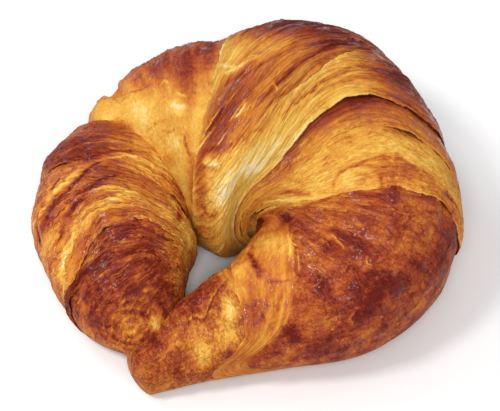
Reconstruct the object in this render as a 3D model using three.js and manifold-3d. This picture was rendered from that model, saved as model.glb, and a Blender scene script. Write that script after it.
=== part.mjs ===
// A large curled butter croissant, seen as it comes off the baking tray.
// One roll of laminated dough, wrapped from the middle outwards and bent until its two tips meet.
// Millimetres, +Z up, the baked underside flat on z = 0, the tips towards -Y.

import * as THREE from 'three';
import { mergeVertices } from 'three/addons/utils/BufferGeometryUtils.js';
import Module from 'manifold-3d';

// Cross-section of the roll: a rounded box shape standing upright between two rails.
const HEIGHT_TO_WIDTH = 0.9;
const CENTRE_LIFT = 0.85; // height of the section's centre, as a share of its half height
const SECTION_POWER = 2.3; // 2 is an ellipse, more is squarer
const SIDES_OF_BODY = 52;
const SIDES_OF_ARM = 42;

// The two rails on the plan. Each row is one cut across the roll: the x and y of its inner edge,
// then the x and y of its outer edge.
const BODY_RAILS = [
  [-25.8, -10.5, -60.8, 5.2], // inside the left arm
  [-17.3, -11.6, -54.9, 20.2], // the torn neck
  [-10.1, -14.5, -46.4, 31],
  [-3.6, -15.7, -32.1, 41.3], // the rim of the middle wrap
  [0.4, -16.1, -16.5, 51.9],
  [2, -11.8, 4.1, 57.5], // the fattest place
  [3.9, -9, 27.4, 51.1],
  [7.9, -5.7, 50.4, 34.7],
  [10.7, -5.3, 60, 10.7],
  [9.8, -7.9, 52.3, -16.1], // the right shoulder
  [4.7, -17.5, 33.7, -33.5],
  [-1.5, -32.2, 18, -46.8],
  [-7.3, -52.5, 5.4, -58.7], // the right tip
];
const ARM_RAILS = [
  [-2.7, -31, -2.4, -52.1], // the left tip, inside the right one
  [-6.1, -23.9, -20.3, -55.9],
  [-7.3, -17.9, -35.1, -49],
  [-13.5, -11.1, -50, -37.9], // the widest place of the left arm
  [-19.9, -2.2, -57.4, -22.1],
  [-26.4, 7.1, -59.6, -7.3], // the rim against the neck
];

// Where one wrap of dough ends and the next begins, counted in cuts along the rails.
// Five places round the roll: inner side, inner shoulder, crest, outer shoulder, outer side.
const BODY_RIMS = [
  [1.95, 2.2, 2.75, 2.93, 2.9],
  [5.7, 6.1, 5.77, 6.34, 6.55],
  [6.4, 6.68, 6.33, 6.8, 7.15],
  [6.95, 7.85, 7.5, 7.48, 7.6],
  [7.6, 8.66, 9.44, 9.95, 10.5],
  [9.9, 10.15, 10.33, 10.5, 11.1],
];
const ARM_RIMS = [
  [0.55, 0.7, 1.2, 1.32, 1.3],
  [1.1, 1.7, 2.15, 1.6, 1.5],
  [1.5, 1.95, 2.48, 2.2, 2.05], // from here on thin sheets, one behind another
  [1.9, 2.2, 2.8, 2.8, 2.6],
  [2.2, 2.58, 3.15, 3.24, 3.1],
  [2.5, 2.95, 3.5, 3.68, 3.6],
];

// Height of each wrap against the plain roll, at its two ends and swelling between them,
// and how deep the stretched dough is folded on top of that.
const BODY_WRAPS = [
  { rows: 10, start: -1.5, end: -1.0, swell: 0.4, folds: 0.35 }, // the neck
  { rows: 19, start: 0.9, end: 1.4, swell: 0.7, folds: 0.45, bent: true }, // the middle wrap
  { rows: 3, start: -1.2, end: 0.8, swell: 0.3, folds: 0, bent: true },
  { rows: 6, start: -1.2, end: 0.9, swell: 0.5, folds: 0.25, bent: true },
  { rows: 11, start: -0.9, end: 1.0, swell: 0.9, folds: 0.4, bent: true }, // the big glossy wrap on the right
  { rows: 5, start: -1.0, end: 0.4, swell: 0.2, folds: 0.2, bent: true },
  { rows: 7, start: -0.4, end: 0, swell: 0.2, folds: 0.2 }, // the right tip
];
const ARM_WRAPS = [
  { rows: 6, start: 0, end: -0.6, swell: 0.3, folds: 0.2 }, // the left tip
  { rows: 4, start: 0.6, end: -0.5, swell: 0.4, folds: 0.2 },
  { rows: 2, start: 0.8, end: -0.3, swell: 0.3, folds: 0 },
  { rows: 2, start: 0.7, end: -0.3, swell: 0.3, folds: 0 },
  { rows: 2, start: 0.6, end: -0.4, swell: 0.2, folds: 0 },
  { rows: 2, start: 0.5, end: -0.4, swell: 0.2, folds: 0 },
  { rows: 6, start: 0.6, end: 0.3, swell: 0.7, folds: 0.3 }, // the fat wrap beside the neck
];
const FOLD_PITCH = 0.5; // angle from one fold to the next
const FOLD_SLANT = 0.35; // angle a fold turns outwards from one cut to the next
const FOLD_WAVER = 0.6; // how far, in radians of its own wave, a fold wanders
const WAVER_PITCH = 1.7; // cuts from one bend of a fold to the next
const RIM_WIDTH = 0.03; // how far along the rails a rim takes to fall to the next wrap
const RELIEF_ENDS = -0.55; // cosine of the angle from the crest below which the roll is plain
const RELIEF_STARTS = 0.05;

// Inside the bend the wraps are squeezed together and swell into the ring.
const BEND_HEIGHT = 2.2;
const BEND_MIDDLE = 7.4; // counted in cuts
const BEND_REACH = 2.2;
const BEND_SIDE = -1.4; // angle from the crest
const BEND_SPREAD = 0.5;

// How far each closed end bulges.
const CAP_ROWS = 3;
const BODY_BULGES = { start: 3, end: 2.5 };
const ARM_BULGES = { start: 2, end: 4.5 };

const RIM_PLACES = 8; // places round the roll where a rim's position is known

// The two rails as smooth curves through the cuts. t counts the cuts.
function railsThrough(cuts) {
  const inner = cuts.map(([x, y]) => new THREE.Vector3(x, y, 0));
  const outer = cuts.map(([, , x, y]) => new THREE.Vector3(x, y, 0));
  const smooth = points => new THREE.CatmullRomCurve3(points, false, 'catmullrom', 0.5);
  return { inner: smooth(inner), outer: smooth(outer), last: cuts.length - 1 };
}

// A point of the closed curve through a rim's places, at angle round the roll.
// The underside, which nobody sees, takes the mean of the two sides.
function rimAt(rim, angle) {
  const under = (rim[0] + rim[4]) / 2;
  const places = [...rim, under, under, under];
  const turn = THREE.MathUtils.euclideanModulo(angle / (2 * Math.PI) + 0.25, 1) * RIM_PLACES;
  const k = Math.floor(turn);
  const f = turn - k;
  const p = i => places[THREE.MathUtils.euclideanModulo(k + i, RIM_PLACES)];
  const slope0 = (p(1) - p(-1)) / 2;
  const slope1 = (p(2) - p(0)) / 2;
  const rise = p(1) - p(0);
  return p(0) + f * (slope0 + f * (3 * rise - 2 * slope0 - slope1 + f * (slope0 + slope1 - 2 * rise)));
}

// A point on the roll: t along the rails, angle from the crest (positive outwards),
// relief in mm, size of the section (1 is full) and travel in mm past the end.
function pointOnRoll(rails, t, angle, relief, size = 1, travel = 0) {
  const u = t / rails.last;
  const inner = rails.inner.getPoint(u);
  const outer = rails.outer.getPoint(u);
  const across = outer.clone().sub(inner).multiplyScalar(0.5);
  const halfWidth = across.length();
  const halfHeight = halfWidth * HEIGHT_TO_WIDTH;
  const along = new THREE.Vector3(across.y, -across.x, 0).normalize();
  const rounded = x => Math.sign(x) * Math.abs(x) ** (2 / SECTION_POWER);
  const grown = size * (1 + relief / halfWidth);
  const centre = inner.add(outer).multiplyScalar(0.5);
  const point = centre.addScaledVector(across, grown * rounded(Math.sin(angle)));
  point.addScaledVector(along, travel);
  point.z = Math.max(0, halfHeight * (CENTRE_LIFT + grown * rounded(Math.cos(angle))));
  return point;
}

// How far the inside of the bend swells at t and angle, in mm.
function bendAt(t, angle) {
  const along = ((t - BEND_MIDDLE) / BEND_REACH) ** 4;
  return BEND_HEIGHT * Math.exp(-along - ((angle - BEND_SIDE) / BEND_SPREAD) ** 2);
}

// Relief of the roll in mm, s of the way through a wrap: from its start to its end, swollen and folded
// between them, fading out on the underside.
function reliefOf(wrap, s, t, angle) {
  const between = 4 * s * (1 - s);
  const waver = FOLD_WAVER * Math.sin((t / WAVER_PITCH + angle) * 2 * Math.PI);
  const fold = Math.cos(((angle - FOLD_SLANT * t) / FOLD_PITCH) * 2 * Math.PI + waver);
  const plain = wrap.start + (wrap.end - wrap.start) * s + (wrap.swell + wrap.folds * fold) * between;
  const height = plain + (wrap.bent ? bendAt(t, angle) : 0);
  return height * THREE.MathUtils.smoothstep(Math.cos(angle), RELIEF_ENDS, RELIEF_STARTS);
}

// The closed surface of one roll, a row of points for each step along it, one pole at each end.
function rollGeometry(cuts, rims, wraps, sides, bulges) {
  const rails = railsThrough(cuts);
  const points = [];
  const rowOf = place => {
    for (let j = 0; j < sides; j++) points.push(place((j / sides) * 2 * Math.PI - Math.PI));
  };
  const capRow = (t, wrap, s, bulge, k) => {
    const swing = (k / (CAP_ROWS + 1)) * (Math.PI / 2);
    const travel = bulge * Math.sin(swing);
    rowOf(a => pointOnRoll(rails, t, a, reliefOf(wrap, s, t, a), Math.cos(swing), travel));
  };

  points.push(pointOnRoll(rails, 0, 0, 0, 0, -bulges.start));
  for (let k = CAP_ROWS; k > 0; k--) capRow(0, wraps[0], 0, -bulges.start, k);
  wraps.forEach((wrap, w) => {
    for (let k = 0; k <= wrap.rows; k++) {
      const s = k / wrap.rows;
      rowOf(a => {
        const from = w === 0 ? 0 : rimAt(rims[w - 1], a) + RIM_WIDTH / 2;
        const to = w === rims.length ? rails.last : rimAt(rims[w], a) - RIM_WIDTH / 2;
        const t = from + (to - from) * s;
        return pointOnRoll(rails, t, a, reliefOf(wrap, s, t, a));
      });
    }
  });
  for (let k = 1; k <= CAP_ROWS; k++) capRow(rails.last, wraps[wraps.length - 1], 1, bulges.end, k);
  points.push(pointOnRoll(rails, rails.last, 0, 0, 0, bulges.end));

  const rows = (points.length - 2) / sides;
  const last = points.length - 1;
  const at = (i, j) => 1 + i * sides + (j % sides);
  const index = [];
  for (let j = 0; j < sides; j++) {
    index.push(0, at(0, j), at(0, j + 1));
    index.push(last, at(rows - 1, j + 1), at(rows - 1, j));
    for (let i = 0; i < rows - 1; i++) {
      index.push(at(i, j), at(i + 1, j), at(i + 1, j + 1));
      index.push(at(i, j), at(i + 1, j + 1), at(i, j + 1));
    }
  }
  const geometry = new THREE.BufferGeometry().setFromPoints(points);
  geometry.setIndex(index);
  return geometry;
}

const wasm = await Module();
wasm.setup();

function solidOf(geometry) {
  const closed = mergeVertices(geometry);
  return new wasm.Manifold(new wasm.Mesh({
    numProp: 3,
    vertProperties: new Float32Array(closed.attributes.position.array),
    triVerts: new Uint32Array(closed.index.array),
  }));
}

function geometryOf(solid) {
  const mesh = solid.getMesh();
  const geometry = new THREE.BufferGeometry();
  geometry.setAttribute('position', new THREE.BufferAttribute(new Float32Array(mesh.vertProperties), 3));
  geometry.setIndex(new THREE.BufferAttribute(new Uint32Array(mesh.triVerts), 1));
  geometry.computeVertexNormals();
  return geometry;
}

// The left arm is baked onto the body at the neck, and its tip into the right tip.
const body = solidOf(rollGeometry(BODY_RAILS, BODY_RIMS, BODY_WRAPS, SIDES_OF_BODY, BODY_BULGES));
const arm = solidOf(rollGeometry(ARM_RAILS, ARM_RIMS, ARM_WRAPS, SIDES_OF_ARM, ARM_BULGES));

const crust = new THREE.MeshStandardMaterial({ color: 0xc9792f, roughness: 0.45, metalness: 0 });
const croissant = new THREE.Mesh(geometryOf(body.add(arm)), crust);
croissant.name = 'croissant';

const model = new THREE.Group();
model.add(croissant);

export default model;
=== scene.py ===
from functools import partial
from math import pi

import bpy
import numpy as np
from mathutils import Matrix, Vector


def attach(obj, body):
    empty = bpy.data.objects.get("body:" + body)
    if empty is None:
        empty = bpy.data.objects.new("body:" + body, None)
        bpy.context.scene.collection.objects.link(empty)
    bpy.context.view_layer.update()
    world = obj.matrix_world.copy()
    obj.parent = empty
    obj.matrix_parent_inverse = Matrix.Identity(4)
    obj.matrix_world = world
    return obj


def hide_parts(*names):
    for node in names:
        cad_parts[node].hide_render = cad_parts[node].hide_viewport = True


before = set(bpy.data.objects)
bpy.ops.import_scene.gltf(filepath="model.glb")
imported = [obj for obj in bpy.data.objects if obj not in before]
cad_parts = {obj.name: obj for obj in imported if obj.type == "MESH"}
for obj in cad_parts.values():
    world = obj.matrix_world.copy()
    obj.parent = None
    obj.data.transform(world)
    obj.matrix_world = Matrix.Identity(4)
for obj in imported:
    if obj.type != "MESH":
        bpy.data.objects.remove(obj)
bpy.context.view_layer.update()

# The right tip: the innermost turn of the dough roll, where the rolling began.
# Laminated dough, egg-washed and baked; it is rolled tight, bent round and pressed onto the left tip.
MM = 0.001
HEIGHT_TO_WIDTH = 0.9
CENTRE_LIFT = 0.85
SECTION_POWER = 2.3
# The body's cuts from the neck to the right tip: x and y of its inner rail and of its outer one, in mm.
BODY_CUTS = np.array([
    [-25.8, -10.5, -60.8, 5.2],
    [-17.3, -11.6, -54.9, 20.2],
    [-10.1, -14.5, -46.4, 31],
    [-3.6, -15.7, -32.1, 41.3],
    [0.4, -16.1, -16.5, 51.9],
    [2, -11.8, 4.1, 57.5],
    [3.9, -9, 27.4, 51.1],
    [7.9, -5.7, 50.4, 34.7],
    [10.7, -5.3, 60, 10.7],
    [9.8, -7.9, 52.3, -16.1],
    [4.7, -17.5, 33.7, -33.5],
    [-1.5, -32.2, 18, -46.8],
    [-7.3, -52.5, 5.4, -58.7],
])


def along_cuts(cuts, t):
    """Both rails at t, which counts the cuts: between two cuts a cubic, whose slope at a cut is half the
    step from the cut before it to the cut after it."""
    padded = np.vstack([2 * cuts[0] - cuts[1], cuts, 2 * cuts[-1] - cuts[-2]])
    k = np.clip(np.floor(t).astype(int), 0, len(cuts) - 2)
    f = (t - k)[..., None]
    a, b, c, d = (padded[k + i] for i in range(4))
    return 0.5 * (2 * b + (c - a) * f + (2 * a - 5 * b + 4 * c - d) * f**2 + (3 * b - a - 3 * c + d) * f**3)


def roll_surface(cuts, t, angle, height, size=1.0, travel=0.0):
    """A point of the roll in mm: its section is a rounded box standing between the rails, with
    across = half width * sin(angle)^(2/power) and up = half height * (lift + cos(angle)^(2/power)),
    both scaled by size and grown by height, pushed travel mm along the roll and cut off flat by the tray."""
    rails = along_cuts(cuts, t)
    inner, outer = rails[..., :2], rails[..., 2:]
    across = (outer - inner) / 2
    half = np.linalg.norm(across, axis=-1)
    grown = size * (1 + height / half)
    ahead = np.stack([across[..., 1], -across[..., 0]], axis=-1) / half[..., None]

    def rounded(x):
        """The sign of x times |x|^(2/power), which rounds a box."""
        return np.sign(x) * np.abs(x) ** (2 / SECTION_POWER)

    plan = (inner + outer) / 2 + across * (grown * rounded(np.sin(angle)))[..., None]
    plan = plan + ahead * (travel + 0 * t)[..., None]
    up = half * HEIGHT_TO_WIDTH * (CENTRE_LIFT + grown * rounded(np.cos(angle)))
    return np.concatenate([plan, np.maximum(up, 0)[..., None]], axis=-1)


def millimetres(cuts, t, angle):
    """How many mm one step of t is along the roll, and one radian of angle round it, at (t, angle)."""
    d = 0.02
    along = np.linalg.norm(roll_surface(cuts, t + d, angle, 0) - roll_surface(cuts, t - d, angle, 0), axis=-1)
    around = np.linalg.norm(roll_surface(cuts, t, angle + d, 0) - roll_surface(cuts, t, angle - d, 0), axis=-1)
    return along / (2 * d), around / (2 * d)


def rim(places, angle):
    """Where a wrap ends, as t: a smooth closed curve through five places round the roll, from the inner
    side over the crest to the outer side, and through their mean on the underside."""
    under = (places[0] + places[4]) / 2
    ring = np.array(list(places) + [under] * 3)
    turn = np.mod(angle / (2 * pi) + 0.25, 1) * 8
    k = np.floor(turn).astype(int)
    f = turn - k
    before, here, after, beyond = (ring[np.mod(k + i, 8)] for i in (-1, 0, 1, 2))
    leave, arrive, rise = (after - before) / 2, (beyond - here) / 2, after - here
    return here + f * (leave + f * (3 * rise - 2 * leave - arrive + f * (leave + arrive - 2 * rise)))


def ramp(x, low, high):
    """0 below low, 1 above high, and the smooth cubic step between them."""
    f = np.clip((x - low) / (high - low), 0, 1)
    return f * f * (3 - 2 * f)


def noise(x, y, seed):
    """Random heights on a square lattice joined by smooth steps, from -1 to 1."""
    side = 128
    lattice = np.random.default_rng(seed).uniform(-1, 1, (side, side))
    i, j = np.floor(x).astype(int), np.floor(y).astype(int)
    fx, fy = x - i, y - j
    fx, fy = fx * fx * (3 - 2 * fx), fy * fy * (3 - 2 * fy)
    corner = [lattice[np.mod(i + p, side), np.mod(j + q, side)] for p, q in ((0, 0), (1, 0), (0, 1), (1, 1))]
    return (corner[0] * (1 - fx) + corner[1] * fx) * (1 - fy) + (corner[2] * (1 - fx) + corner[3] * fx) * fy


def layered(x, y, seed, octaves=4, gain=0.55):
    """The sum of noise at doubling fineness and falling strength, scaled to about -1 to 1."""
    total = sum(gain**k * noise(x * 2**k + 17.3 * k, y * 2**k + 9.1 * k, seed + k) for k in range(octaves))
    return total / (1.2 * (1 - gain**octaves) / (1 - gain)) * 1.6


def streaks(across, along, seed, breadth=1.5, length=15):
    """Long narrow marks of stretched dough: layered noise squeezed across the grain, in mm, and drawn out
    along it, on a grain that wavers a little."""
    waver = 1.3 * noise(across / 8, along / 13, seed + 50)
    return layered((across + waver) / breadth, along / length, seed)


def sheets(across, along, pitch, seed, waver=0.5):
    """Thin sheets of dough lying one on the next like shingles, pitch mm wide with a wandering, ragged
    edge, and finer ones of the same kind on them. Returns the tone of the sheets (-1 to 1, drifting along
    them), their raw edges, the shade that they throw on the sheets below (both 0 to 1) and the height,
    which falls from each edge to the next one."""
    total = 0
    for k, (size, weight) in enumerate([(1.0, 1.0), (0.37, 0.6)]):
        width, key = pitch * size, seed + 20 * k
        u = across / width + waver * layered(across / (5 * width), along / 30, key, 3)
        u = u + 0.10 * noise(along / 1.1, u * 0.7, key + 9) + 0.16 * noise(along / 4, u * 0.5, key + 8)
        sheet = np.floor(u)
        f = u - sheet
        tone = noise(along / 15 + 5.3 * sheet, sheet + 0.5, key + 3)
        strength = ramp(noise(along / 17 + 3.1 * sheet, sheet + 0.5, key + 5), -0.25, 0.45)
        edge, shade = np.exp(-f * width / 0.3) * strength, np.exp(-(1 - f) * width / 0.4) * strength
        total = total + weight * np.array([tone, edge, shade, (1 - f) * strength])
    return total


def flakes(x, y, seed, steps=3.0):
    """Thin flakes with crisp winding borders: layered noise cut into terraces. Returns the height of the
    terrace (-1 to 1), and 1 along its raw border fading inwards."""
    q = layered(x, y, seed, 5, 0.6) * steps
    k = np.floor(q)
    return np.clip(k / steps, -1, 1), np.exp(-(q - k) / 0.12) * ramp(noise(x * 1.7, y * 1.7, seed + 4), -0.2, 0.5)


def patches(t, angle, rows):
    """The sum of soft patches: amount * exp(-d^4), with d the elliptical distance and each one slanted."""
    total = np.zeros(np.broadcast(t, angle).shape)
    for t0, a0, reach_t, reach_a, slant, amount in rows:
        dt, da = t - t0, angle - a0
        square = (dt / reach_t) ** 2 + ((da - slant * dt) / reach_a) ** 2
        total = total + amount * np.exp(-(square**1.4))
    return total


def off_line(cuts, t, angle, path):
    """Signed distance in mm from a smooth line drawn through path on the roll (plus on its left, looking
    along it), and how far along it the nearest point lies, from 0 to 1. Far points get a large distance."""
    path = np.reshape(path, (-1, 2)).astype(float)
    line = along_cuts(path, np.linspace(0, len(path) - 1, 6 * len(path)))
    scale_t, scale_a = millimetres(cuts, path[:, 0].mean(), path[:, 1].mean())
    distance, share = np.full(t.shape, 99.0), np.zeros(t.shape)
    margin_t, margin_a = 5 / scale_t, 5 / scale_a
    close = (t > line[:, 0].min() - margin_t) & (t < line[:, 0].max() + margin_t)
    close &= (angle > line[:, 1].min() - margin_a) & (angle < line[:, 1].max() + margin_a)
    x, y = t[close] * scale_t, angle[close] * scale_a
    best, where = np.full(x.shape, 99.0), np.zeros(x.shape)
    px, py = line[:, 0] * scale_t, line[:, 1] * scale_a
    for i in range(len(line) - 1):
        dx, dy = px[i + 1] - px[i], py[i + 1] - py[i]
        f = np.clip(((x - px[i]) * dx + (y - py[i]) * dy) / (dx * dx + dy * dy + 1e-9), 0, 1)
        ex, ey = x - px[i] - f * dx, y - py[i] - f * dy
        d = np.hypot(ex, ey)
        better = d < np.abs(best)
        best = np.where(better, d * np.where(dx * ey - dy * ex < 0, -1, 1), best)
        where = np.where(better, (i + f) / (len(line) - 1), where)
    distance[close], share[close] = best, where
    return distance, share


def strokes(cuts, t, angle, rows, seed):
    """Marks drawn along given lines: each fades as exp(-(d/width)^2) off its line, tapers at both ends and is
    broken up by noise. Returns what they add to the browning and to the height."""
    bake, height = np.zeros(t.shape), np.zeros(t.shape)
    # A mark with browning below 0 is paler; the pale marks of some tables are painted highlights.
    for i, (width, browning, rise_mm, path) in enumerate(rows):
        d, share = off_line(cuts, t, angle, path)
        d = d + 0.5 * width * noise(share * 14 + 3 * i, d / 2 + i, seed)
        fade = np.exp(-((d / width) ** 2)) * (1 - np.abs(2 * share - 1) ** 4)
        fade = fade * (1 + 0.35 * noise(share * 22, d + 5 * i, seed + 1))
        bake, height = bake + browning * fade, height + rise_mm * fade
    return bake, height


def flaps(cuts, t, angle, rows, seed):
    """Free edges of torn sheets: left of the line the sheet stands up and its raw edge is pale, right of
    it lies the gap below, painted browner as shade. Returns browning, height and how deep in the gap a
    point is, which is given out as painted shade."""
    bake, height, gap = np.zeros(t.shape), np.zeros(t.shape), np.zeros(t.shape)
    for i, (lift, path) in enumerate(rows):
        d, share = off_line(cuts, t, angle, path)
        d = d + 0.25 * noise(share * 30, 0 * d + i, seed) + 0.5 * noise(share * 9, 0 * d + i, seed + 1)
        taper = (1 - np.abs(2 * share - 1) ** 3) * lift
        over, under = np.where(d > 0, np.exp(-d / 1.6), 0), np.where(d <= 0, np.exp(d / 1.0), 0)
        shaded_side, raw = np.where(d < 0, np.exp(d / 0.9), 0), np.where(d > 0, np.exp(-d / 0.7), 0)
        bake = bake + taper * (0.3 * shaded_side - 0.28 * raw)
        height = height + taper * (0.7 * over - 0.35 * under)
        gap = gap + taper * 0.6 * np.where(d <= 0, np.exp(d / 0.28), 0)
    return bake, height, gap


def shown(angle):
    """1 on the crest and sides, falling to 0 on the baked underside."""
    return ramp(np.cos(angle), -0.55, 0.05)


def open_share(angle, rows):
    """How far a seam gapes, 0 shut to 1 open: the sum of humps depth * exp(-((angle - a0) / reach)^2)."""
    humps = (depth * np.exp(-(((angle - a0) / reach) ** 2)) for a0, reach, depth in rows)
    return np.clip(sum(humps, 0 * angle), 0, 1)


CROWDING = 0.35  # how much closer the columns stand on the crest than on the underside
LEAST_STEP, FULL_STEP = 3.5, 12  # mm of one cut: the least counted, and that where rims have full size
RAGGED = 0.6  # mm that a lip wanders
SEAM_REACH = 3.5  # mm over which a shut seam draws its two sides together
SHUT_LIP, OPEN_LIP, LIP_UNDER = 0.05, 0.36, 2.2  # mm: radius of a shut lip, what opening adds, way back


def wrap_grid(cuts, edges, form, rows, columns, seed):
    """One wrap of dough as a closed skin: rows from its first edge to its last, columns round the roll.
    An edge is (kind, place, seam, level), or (kind, place, None, bulge) for a cap, which closes the roll with
    a dome. A lip lies over its neighbour: it turns over in a half circle and runs back under itself. A tuck
    slips under the neighbour's lip. Where a seam is shut, both sides are drawn to its level by
    exp(-distance / SEAM_REACH). Where it gapes, painted shade darkens the tuck beside it, the lip as it turns
    under and the rows that run back under both, and the tuck is browner beside it, partly browning and partly
    painted shade; the rows inside the roll are painted fully in shade. The form gives height, bake, painted
    shade and the grain's two lengths in mm. A disc round a pole closes each end inside."""
    theta = np.linspace(-pi, pi, columns, endpoint=False)
    angle = theta - CROWDING * np.sin(theta)
    ends = []
    for k, (kind, place, seam, level) in enumerate(edges):
        t = rim(place, angle) if np.ndim(place) else np.full(columns, float(place))
        reach = np.maximum(millimetres(cuts, t, angle)[0], LEAST_STEP)
        if kind == "lip":
            torn = layered(theta * 5, 0 * theta, seed + 7 + k, 5, 0.6)
            t = t + shown(angle) * RAGGED * torn / reach * np.clip(reach / FULL_STEP, 0.1, 1)
        ends.append((t, reach))
    (t0, reach0), (t1, reach1) = ends
    s = np.linspace(0, 1, rows)[:, None]
    t = t0 + (t1 - t0) * s
    mm = [np.abs(t - t0) * reach0, np.abs(t1 - t) * reach1]
    height, bake, painted_shade, across, along = form(s + 0 * t, t, angle + 0 * t)
    height = height + 0.45 * layered(t * 2.6, angle * 4.5, seed + 60, 3, 0.5)
    height = height + 0.13 * layered(t * 14, angle * 26, seed + 62, 2)
    bottom = 1 - ramp(np.cos(angle), -0.8, -0.3)
    bake = bake * (1 - bottom) + bottom * (0.74 + 0.1 * layered(t * 5, angle * 8, seed + 61))
    for k, (kind, place, seam, level) in enumerate(edges):
        if kind == "cap":
            continue
        share = open_share(angle, seam)
        meet = level + (0.05 + 0.08 * share) * (1 if kind == "lip" else -1)
        own = height[-k] * 0 + np.median(height[-k][np.abs(angle) < 1.2])
        height = height + (meet - own) * (1 - share) * np.exp(-mm[k] / SEAM_REACH)
        if kind == "tuck":
            # Painted shade in the tuck beside a gaping seam; the tuck is browner there too, partly browning and
            # partly painted shade that grows as the seam gapes.
            painted_shade = painted_shade + share * (0.65 * np.exp(-mm[k] / 1.1) + 0.2 * np.exp(-mm[k] / 3))
            bake = bake + (0.08 + 0.25 * share) * np.exp(-mm[k] / 2.5)
        else:
            bake = bake - 0.12 * np.exp(-mm[k] / 0.7)
    height = height * shown(angle)
    parts, middles = [np.array([t, height, bake, painted_shade, 1 + 0 * t, 0 * t, across, along])], []
    for k, sign in ((0, -1), (1, 1)):
        kind, place, seam, level = edges[k]
        edge_t, reach = ends[k]
        edge_h, edge_bake, edge_shade = height[-k], bake[-k], painted_shade[-k]
        extra = []

        def lay_row(t_row, height_row, shade_row, size=1.0, travel=0.0):
            """One more row beyond this edge, with the browning and the grain of the edge."""
            row = (t_row, height_row, edge_bake, shade_row, size, travel, across[-k] + 2 * travel, along[-k])
            extra.append([value + 0 * edge_t for value in row])

        if kind == "cap":
            for swing in np.linspace(0, pi / 2, 26)[1:-1]:
                lumps = 0.6 * np.sin(swing) * layered(theta * 2.2, swing * 2.5 + 0 * theta, seed + 31 + k)
                edge = edge_h * np.cos(swing) + lumps
                lay_row(edge_t, edge, edge_shade * 0, np.cos(swing), sign * level * np.sin(swing))
            middles.append((edge_t.mean(), sign * level))
        else:
            small = np.clip(reach / FULL_STEP, 0.2, 1)
            share = open_share(angle, seam)
            radius = (SHUT_LIP + OPEN_LIP * share) * small
            under = LIP_UNDER * small
            if kind == "lip":
                # The lip takes painted shade as it turns under a gaping seam, and so do the rows that run back under
                # it.
                for swing in np.linspace(0, pi, 6)[1:]:
                    lay_row(edge_t + sign * radius * np.sin(swing) / reach, edge_h - radius * (1 - np.cos(swing)),
                            edge_shade + 0.7 * share * ramp(swing, pi / 3, pi))
                for x in (0.5, 1):
                    lay_row(edge_t - sign * x * under / reach, edge_h - 2 * radius - 0.3 * x, share)
                inner_t = edge_t - sign * under / reach
            else:
                for x in (0.15, 0.4, 0.8, 1.2):
                    lay_row(edge_t + sign * x * under / reach, edge_h - 0.7 * x * small, share)
                inner_t = edge_t + sign * 1.2 * under / reach
            middle = inner_t.mean()
            # The rows that close the roll inside are painted fully in shade.
            for inwards in (0.25, 0.55, 0.85):
                lay_row(inner_t + (middle - inner_t) * inwards, extra[-1][1], 1, 1 - inwards)
            middles.append((middle, 0))
        added = np.swapaxes(extra, 0, 1)
        parts = [added[:, ::-1], *parts] if k == 0 else [*parts, added]
    t, height, bake, painted_shade, size, travel, across, along = np.concatenate(parts, axis=1)
    points = roll_surface(cuts, t, angle, height, size, travel)
    poles = [roll_surface(cuts, np.array([m]), np.array([0.0]), 0, 0, push)[0] for m, push in middles]
    return points, poles, bake, painted_shade, np.stack([across, along], axis=-1)


def closed_mesh(name, points, poles, bake, painted_shade, grain):
    """Puts a grid that closes round the roll, with a pole at each end, into a mesh in metres: faces outwards,
    bake and painted shade as attributes, and the lengths across and along the grain as the UV map."""
    rows, columns = points.shape[:2]
    count = rows * columns
    vertices = np.vstack([points.reshape(-1, 3), poles]) * MM
    i, j = np.meshgrid(np.arange(rows - 1), np.arange(columns), indexing="ij")
    k = (j + 1) % columns
    below, above = i * columns, (i + 1) * columns
    quads = np.stack([below + j, above + j, above + k, below + k], -1).reshape(-1, 4)
    ring, after = np.arange(columns), (np.arange(columns) + 1) % columns
    start_fan = np.stack([np.full(columns, count), ring, after], -1)
    end_fan = np.stack([np.full(columns, count + 1), count - columns + after, count - columns + ring], -1)
    mesh = bpy.data.meshes.new(name)
    mesh.from_pydata(vertices, [], quads.tolist() + start_fan.tolist() + end_fan.tolist())
    mesh.polygons.foreach_set("use_smooth", np.ones(len(mesh.polygons), bool))
    for key, values in (("bake", bake), ("painted_shade", painted_shade)):
        ends = [values[0].mean(), values[-1].mean()]
        mesh.attributes.new(key, "FLOAT", "POINT").data.foreach_set("value", np.append(values.ravel(), ends))
    flat = np.vstack([grain.reshape(-1, 2), grain[0].mean(0), grain[-1].mean(0)]) * MM
    corners = np.concatenate([quads.ravel(), start_fan.ravel(), end_fan.ravel()])
    mesh.uv_layers.new(name="grain").data.foreach_set("uv", flat[corners].ravel())
    mesh.validate()
    return mesh


# The crust's browning as colour: (bake, red, green, blue), taken from pale dough to burned crust.
CRUST_COLOURS = [
    (0.0, 243, 218, 166), (0.07, 240, 206, 122), (0.15, 235, 191, 95), (0.24, 229, 176, 79), (0.36, 219, 153, 66),
    (0.48, 204, 128, 54), (0.60, 185, 102, 47), (0.72, 162, 77, 43), (0.84, 138, 57, 37), (0.93, 119, 44, 32),
    (1.0, 102, 32, 24),
]
# Painted shade colour, mixed in by the painted shade attribute in seams, gaps and under sheet edges.
SHADE_COLOUR = (0.13, 0.022, 0.014, 1)


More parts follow.
